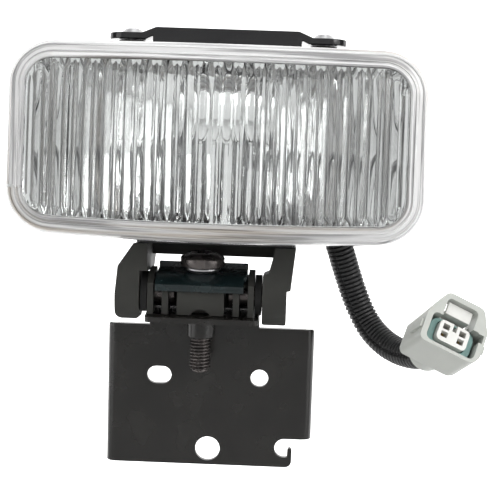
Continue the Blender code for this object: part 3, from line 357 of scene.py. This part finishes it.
ROUTE = [
    (46.2, 9.2, 55.7), (48.3, 10.0, 49.7), (51.4, 11.0, 40.3), (54.9, 11.0, 30.9),
    (58.5, 9.8, 23.4), (62.3, 7.3, 18.2), (66.9, 3.2, 14.6), (71.7, -2.0, 12.9),
    (76.5, -8.3, 13.0), (80.2, -14.0, 14.6), (81.8, -17.75, 16.8),
]
RING_PITCH, RING_OUT, RING_IN = 1.75, 5.2, 4.55
RING_STEPS, CONDUIT_SIDES, SPLIT_SIDE, SPLIT_DEPTH = 8, 40, 14, 0.35


def smooth_route(points, spacing):
    """Points a spacing apart on a Catmull-Rom curve through the route's own points."""
    knots = [Vector(p) for p in points]
    knots = [2 * knots[0] - knots[1]] + knots + [2 * knots[-1] - knots[-2]]
    dense = []
    for a, b, c, d in zip(knots, knots[1:], knots[2:], knots[3:]):
        for step in range(60):
            t = step / 60
            dense.append(0.5 * (2 * b + (c - a) * t + (2 * a - 5 * b + 4 * c - d) * t**2
                                + (3 * b - a - 3 * c + d) * t**3))
    dense.append(knots[-2])
    travelled = [0.0]
    for a, b in zip(dense, dense[1:]):
        travelled.append(travelled[-1] + (b - a).length)
    count = round(travelled[-1] / spacing)
    found, k = [], 0
    for i in range(count + 1):
        goal = travelled[-1] * i / count
        while k < len(dense) - 2 and travelled[k + 1] < goal:
            k += 1
        share = (goal - travelled[k]) / (travelled[k + 1] - travelled[k])
        found.append(dense[k].lerp(dense[k + 1], share))
    return found, travelled[-1]


def frames_along(path):
    """A (right, up) pair across the path at each point, carried along with no twist."""
    tangents = [(b - a).normalized() for a, b in zip(path, path[1:])]
    tangents.append(tangents[-1])
    right = tangents[0].cross(Vector((0, 1, 0))).normalized()
    found = []
    for tangent in tangents:
        right = (right - tangent * right.dot(tangent)).normalized()
        found.append((right, tangent.cross(right)))
    return found


def make_conduit():
    """Corrugated tube: rings with flat crests and narrow valleys, with a slit along one side."""
    path, length = smooth_route(ROUTE, RING_PITCH / RING_STEPS)
    rows = []
    for i, (centre, (right, up)) in enumerate(zip(path, frames_along(path))):
        wave = 0.5 + 0.5 * math.cos(math.tau * i / RING_STEPS)
        crest = min(1.0, 1.5 * wave ** 0.6)
        row = []
        for k in range(CONDUIT_SIDES):
            angle = math.tau * k / CONDUIT_SIDES
            radius = RING_IN + (RING_OUT - RING_IN) * crest
            if k == SPLIT_SIDE:
                radius = RING_IN - SPLIT_DEPTH
            row.append(centre + (right * math.cos(angle) + up * math.sin(angle)) * radius)
        rows.append(row)
    bm, made = grid_mesh(rows, closed=True)
    bm.faces.new(made[0])
    bm.faces.new(made[-1])
    piece = add_piece(mesh_of(bm), "conduit_tube", "lamp", "conduit_black", nodes=("conduit",), angle=50)


# Lens --------------------------------------------------------------------------------------

FIELD_X, FIELD_Z, FIELD_R = 67.4, 28.3, 9.0
LENS_HALF_X, LENS_HALF_Z = 75.1, 35.95
FLUTE_PITCH, FLUTE_DEPTH, RIB_DEPTH = 7.2, 1.1, 0.4
FLUTE_SHARE, RIB_SHARE = 0.33, 0.17
FLUTE_STEPS, FIELD_ROWS = 20, 30
DOME_FRONT, DOME_DEPTH, WALL = -38.3, 2.6, 3.0
BOW_TOP, BOW_BOTTOM = 0.9, 2.2


def bowed(x, z):
    """How far the lens's long edges bow towards its middle, at a point measured from its centre."""
    bow = BOW_TOP if z > 0 else BOW_BOTTOM
    return z - math.copysign(bow * (x / LENS_HALF_X) ** 2 * abs(z) / LENS_HALF_Z, z)


def field_height(x, half_x, half_z, radius):
    """The half height of a rounded rectangle at x."""
    beyond = abs(x) - (half_x - radius)
    if beyond <= 0:
        return half_z
    return half_z - radius + math.sqrt(max(0.0, radius**2 - min(beyond, radius) ** 2))


def field_columns(step):
    """Column places from left to right, with extra ones where the corners turn."""
    count = round(2 * (FIELD_X - FIELD_R) / step)
    inner = [-(FIELD_X - FIELD_R) + 2 * (FIELD_X - FIELD_R) * i / count for i in range(count + 1)]
    turn = [FIELD_X - FIELD_R + FIELD_R * math.sin(math.pi / 2 * i / 10) for i in range(1, 11)]
    return [-x for x in reversed(turn)] + inner + turn


def field_mesh(bm, columns, rows, depth):
    """A sheet over the field; depth gives y at a place. Returns its edge, going round."""
    grid = []
    for x in columns:
        half = field_height(x, FIELD_X, FIELD_Z, FIELD_R)
        column = []
        for i in range(rows + 1):
            z = half * (2 * i / rows - 1)
            column.append(bm.verts.new(Vector((x, depth(x, z, half), bowed(x, z))) * MM))
        grid.append(column)
    for near, far in zip(grid, grid[1:]):
        for i in range(rows):
            bm.faces.new((near[i], far[i], far[i + 1], near[i + 1]))
    bottom = [column[0] for column in grid]
    top = [column[-1] for column in grid]
    return bottom + grid[-1][1:-1] + top[::-1] + grid[0][-2:0:-1]


def edge_places(columns, rows):
    """The field's edge and the way out of it at each point, in the order that field_mesh returns."""
    def place(x, z):
        centre = Vector((math.copysign(FIELD_X - FIELD_R, x), math.copysign(FIELD_Z - FIELD_R, z)))
        away = Vector((x, z)) - centre
        if abs(x) <= FIELD_X - FIELD_R + 1e-6:
            away = Vector((0, math.copysign(1, z)))
        elif abs(z) <= FIELD_Z - FIELD_R + 1e-6:
            away = Vector((math.copysign(1, x), 0))
        return Vector((x, z)), away.normalized()

    halves = [field_height(x, FIELD_X, FIELD_Z, FIELD_R) for x in columns]
    bottom = [place(x, -h) for x, h in zip(columns, halves)]
    top = [place(x, h) for x, h in zip(columns, halves)]
    right = [place(columns[-1], halves[-1] * (2 * i / rows - 1)) for i in range(1, rows)]
    left = [place(columns[0], halves[0] * (2 * i / rows - 1)) for i in range(1, rows)]
    return bottom + right + top[::-1] + left[::-1]


def skirt(bm, ring, places, steps, band):
    """Carries the field's edge out and back through (outset, y) steps, and returns the last ring."""
    along = [0.0]
    for (first, _), (second, _) in zip(places, places[1:]):
        along.append(along[-1] + (second - first).length * MM)
    for outset, y in steps:
        following = []
        for point, away in places:
            x, z = point + away * outset
            following.append(bm.verts.new(Vector((x, y, bowed(x, z))) * MM))
            following[-1][band] = (round(along[len(following) - 1], 6), outset * MM, y * MM)
        for i in range(len(ring)):
            j = (i + 1) % len(ring)
            bm.faces.new((ring[i], following[i], following[j], ring[j]))
        ring = following
    return ring


def dome(x, z):
    """The depth of the lens's front face."""
    return DOME_FRONT + DOME_DEPTH * ((x / FIELD_X) ** 2 + (z / FIELD_Z) ** 2) / 2


def flute(x, z, half):
    """The depth of the inner face: fluted between two straight ends."""
    place = abs(((x / FLUTE_PITCH) % 1.0) - 0.5)
    if place < FLUTE_SHARE:
        relief = FLUTE_DEPTH * (1 - (place / FLUTE_SHARE) ** 2)
    else:
        relief = RIB_DEPTH * (1 - ((0.5 - place) / RIB_SHARE) ** 2)
    from_end = min(half - abs(z), 1.8) / 1.8
    from_side = min(FIELD_X - abs(x), 2.0) / 2.0
    return dome(x, z) + WALL + relief * min(1, from_end * 1.3) * min(1, from_side)


# (outset, y) steps of the border's stepped outside and its plain inside
RIM_OUT = [
    (0.25, -34.6), (0.5, -35.3), (0.9, -35.4), (1.2, -34.7), (2.3, -34.3), (2.6, -34.6),
    (2.9, -34.5), (3.1, -33.6), (4.9, -32.9), (5.1, -33.1), (5.5, -32.9), (5.8, -32.1),
    (6.5, -31.0), (7.0, -29.3), (7.3, -26.0), (7.5, -20.0), (7.65, -13.0),
]
RIM_IN = [(0.25, -32.0), (2.6, -31.0), (3.4, -29.0), (4.2, -26.0), (4.5, -20.0), (4.65, -13.0)]


def make_lens():
    columns, rows = field_columns(FLUTE_PITCH / FLUTE_STEPS), FIELD_ROWS
    places = edge_places(columns, rows)
    bm = bmesh.new()
    front = field_mesh(bm, columns, rows, lambda x, z, _: dome(x, z))
    back = field_mesh(bm, columns, rows, flute)
    for i in range(len(front)):
        j = (i + 1) % len(front)
        bm.faces.new((front[i], back[i], back[j], front[j]))
    add_piece(mesh_of(bm), "lens_glass", "lamp", "clear_lens", AXIS, ("lens",), 40)

    bm = bmesh.new()
    band = bm.verts.layers.float_vector.new("band")
    start = []
    outset, y = RIM_IN[0]
    for point, away in places:
        x, z = point + away * outset
        start.append(bm.verts.new(Vector((x, y, bowed(x, z))) * MM))
    outer = skirt(bm, start, places, RIM_OUT, band)
    inner = skirt(bm, start, places, RIM_IN[1:], band)
    for i in range(len(outer)):
        j = (i + 1) % len(outer)
        bm.faces.new((outer[i], inner[i], inner[j], outer[j]))
    # The border's look is painted highlights and a painted warm reflection over partly clear plastic.
    add_piece(mesh_of(bm), "lens_border", "lamp", "clear_lens", AXIS, angle=50, look="lens_rim_painted_light")


# Reflector ---------------------------------------------------------------------------------

FOCAL_LENGTH, VERTEX_Y = 30.0, 27.8
MIRROR_X, MIRROR_Z, MIRROR_FRONT = 67.2, 28.0, -15.0
BULB_HOLE, BOWL_ROWS = 9.0, 45


def rounded_loop(half_x, half_z, radius, corner=16, edge=44, side=24):
    """Points round a rounded rectangle, from the middle of its right side upwards."""
    quarter = [(half_x, (half_z - radius) * i / side) for i in range(side)]
    quarter += [(half_x - radius + radius * math.cos(a), half_z - radius + radius * math.sin(a))
                for a in [math.pi / 2 * i / corner for i in range(corner + 1)]]
    quarter += [((half_x - radius) * (1 - i / edge), half_z) for i in range(1, edge + 1)]
    upper = quarter + [(-x, z) for x, z in reversed(quarter[:-1])]
    return upper + [(x, -z) for x, z in reversed(upper[1:-1])]


def make_reflector():
    rim = rounded_loop(MIRROR_X, MIRROR_Z, 7.0)
    rows = []
    for i in range(BOWL_ROWS):
        share = (i / (BOWL_ROWS - 1)) ** 0.9
        row = []
        for x, z in rim:
            hole = Vector((x, z)).normalized() * BULB_HOLE
            px, pz = hole.lerp(Vector((x, z)), share)
            row.append((px, VERTEX_Y - (px**2 + pz**2) / (4 * FOCAL_LENGTH), pz))
        rows.append(row)
    rows.append([(x, MIRROR_FRONT, z) for x, z in rim])
    rows.append([(x, MIRROR_FRONT, z) for x, z in rounded_loop(MIRROR_X + 3.2, MIRROR_Z + 1.6, 8.6)])
    bm, _ = grid_mesh(rows, closed=True)
    mesh = mesh_of(bm)
    mesh = baked(mesh, ("SOLIDIFY", {"thickness": 1.0 * MM, "offset": 1.0}))
    add_piece(mesh, "reflector_bowl", "lamp", "mirror", AXIS, ("reflector",), 40)


# Clamp screw -------------------------------------------------------------------------------

HEAD_BASE, HEAD_TOP, HEAD_SIDES, SOCKET_DEPTH = 45.3, 50.5, 72, 2.5
THREAD_PITCH, THREAD_CORE, THREAD_CREST = 1.25, 3.15, 3.98
SHANK_LOW, SHANK_HIGH, SHANK_SIDES, ROWS_PER_TURN = 5.1, 45.6, 40, 10


def make_clamp_screw():
    """Flat-topped head with a six-lobed recess, and a threaded shank."""
    base, top = HEAD_BASE, HEAD_TOP
    profile = [
        (0.0, top), (4.6, top - 0.05), (5.6, top - 0.3), (6.6, top - 0.75), (7.4, top - 1.2),
        (7.9, top - 1.6), (8.15, top - 2.0), (8.2, top - 2.3), (8.2, base + 0.5),
        (8.0, base + 0.15), (7.6, base), (0.0, base),
    ]
    head = mesh_of(spun(profile, HEAD_SIDES))
    lobes = []
    for i in range(HEAD_SIDES):
        angle = math.tau * i / HEAD_SIDES
        radius = 3.05 + 0.5 * math.cos(6 * angle)
        lobes.append((radius * math.cos(angle), radius * math.sin(angle)))
    bm, made = grid_mesh([[(x, y, z) for x, y in lobes] for z in (top - SOCKET_DEPTH, top + 2)], closed=True)
    bm.faces.new(made[0])
    bm.faces.new(made[1])
    cutter = bpy.data.objects.new("cutter", mesh_of(bm))
    bpy.context.scene.collection.objects.link(cutter)
    head = baked(head, ("BOOLEAN", {"object": cutter, "operation": "DIFFERENCE", "solver": "EXACT"}),
                 bevel(0.18, 35))
    bpy.data.objects.remove(cutter)
    move = Matrix.Translation(Vector((PIVOT.x, PIVOT.y, 0)) * MM)
    add_piece(head, "clamp_screw_head", "clamp_screw", "dark_screw", move, ("clamp_screw",))
    rows = []
    count = round((SHANK_HIGH - SHANK_LOW) / THREAD_PITCH * ROWS_PER_TURN)
    for i in range(count + 1):
        z = SHANK_LOW + (SHANK_HIGH - SHANK_LOW) * i / count
        fade = min(1.0, (z - SHANK_LOW) / 1.6)
        row = []
        for k in range(SHANK_SIDES):
            phase = (z / THREAD_PITCH - k / SHANK_SIDES) % 1.0
            tooth = max(0.0, min(1.0, 1.35 - 2.7 * abs(phase - 0.5)))
            radius = THREAD_CORE + (THREAD_CREST - THREAD_CORE) * tooth * fade - (0.5 * (1 - fade))
            angle = math.tau * k / SHANK_SIDES
            row.append((radius * math.cos(angle), radius * math.sin(angle), z))
        rows.append(row)
    bm, made = grid_mesh(rows, closed=True)
    bm.faces.new(made[0])
    bm.faces.new(made[-1])
    add_piece(mesh_of(bm), "clamp_screw_thread", "clamp_screw", "dark_screw", move, angle=60)


# Everything --------------------------------------------------------------------------------

# node: its body, its slot, the width of its rounded edges and, where it differs, its look
SOFT_EDGES = {
    "mount_plate": ("mount", "black_steel", 0.35),
    "thread_insert": ("mount", "dark_screw", 0.2, "black_steel"),
    "pivot_block": ("mount", "black_plastic", 0.35),
    # the clamp saddle's look carries a painted teal sheen
    "clamp_saddle": ("mount", "black_steel", 0.35, "saddle_painted_teal_sheen"),
    "cup_washer": ("mount", "zinc_steel", 0.15), "pivot_washer_left": ("mount", "black_rubber", 0.2),
    "pivot_washer_right": ("mount", "black_rubber", 0.2), "lamp_housing": ("lamp", "black_plastic", 0.5),
    "vent_cap": ("lamp", "black_rubber", 0.3), "top_strap": ("lamp", "gloss_black_steel", 0.35),
    "base_plate": ("lamp", "gloss_black_steel", 0.3), "pivot_bracket": ("lamp", "black_plastic", 0.45),
    "pivot_pin_left": ("lamp", "dark_screw", 0.2), "pivot_pin_right": ("lamp", "dark_screw", 0.2),
    "rear_cover": ("rear_cover", "black_plastic", 0.5), "cable_grommet": ("lamp", "black_rubber", 0.3),
    "connector_housing": ("lamp", "grey_plastic", 0.35), "connector_carrier": ("lamp", "white_plastic", 0.2),
    "connector_seal": ("lamp", "teal_rubber", 0.2),
    "connector_latch": ("connector_latch", "white_plastic", 0.25),
    "bulb_plug": ("lamp", "black_plastic", 0.2), "bulb_shield": ("lamp", "mirror", 0.15),
}
# node: the material that it takes as it is
PLAIN = {
    "lens_seal": "black_rubber", "bulb_glass": "bulb_glass", "bulb_filament": "tungsten",
    "bulb_base": "zinc_steel", "bulb_clip": "zinc_steel", "lead_feed": "black_rubber",
    "lead_earth": "black_rubber", "cover_seal": "black_rubber", "top_screw_left": "zinc_steel",
    "top_screw_right": "zinc_steel", "base_screw_left": "zinc_steel", "base_screw_right": "zinc_steel",
    "terminal_left": "brass", "terminal_right": "brass",
}

make_camera()
make_studio()
MATERIALS = make_materials()
for node, settings in SOFT_EDGES.items():
    softened(node, *settings)
for node, slot in PLAIN.items():
    for holder in NODES[node].material_slots:
        holder.material = MATERIALS[slot]
make_conduit()
make_lens()
make_reflector()
make_clamp_screw()
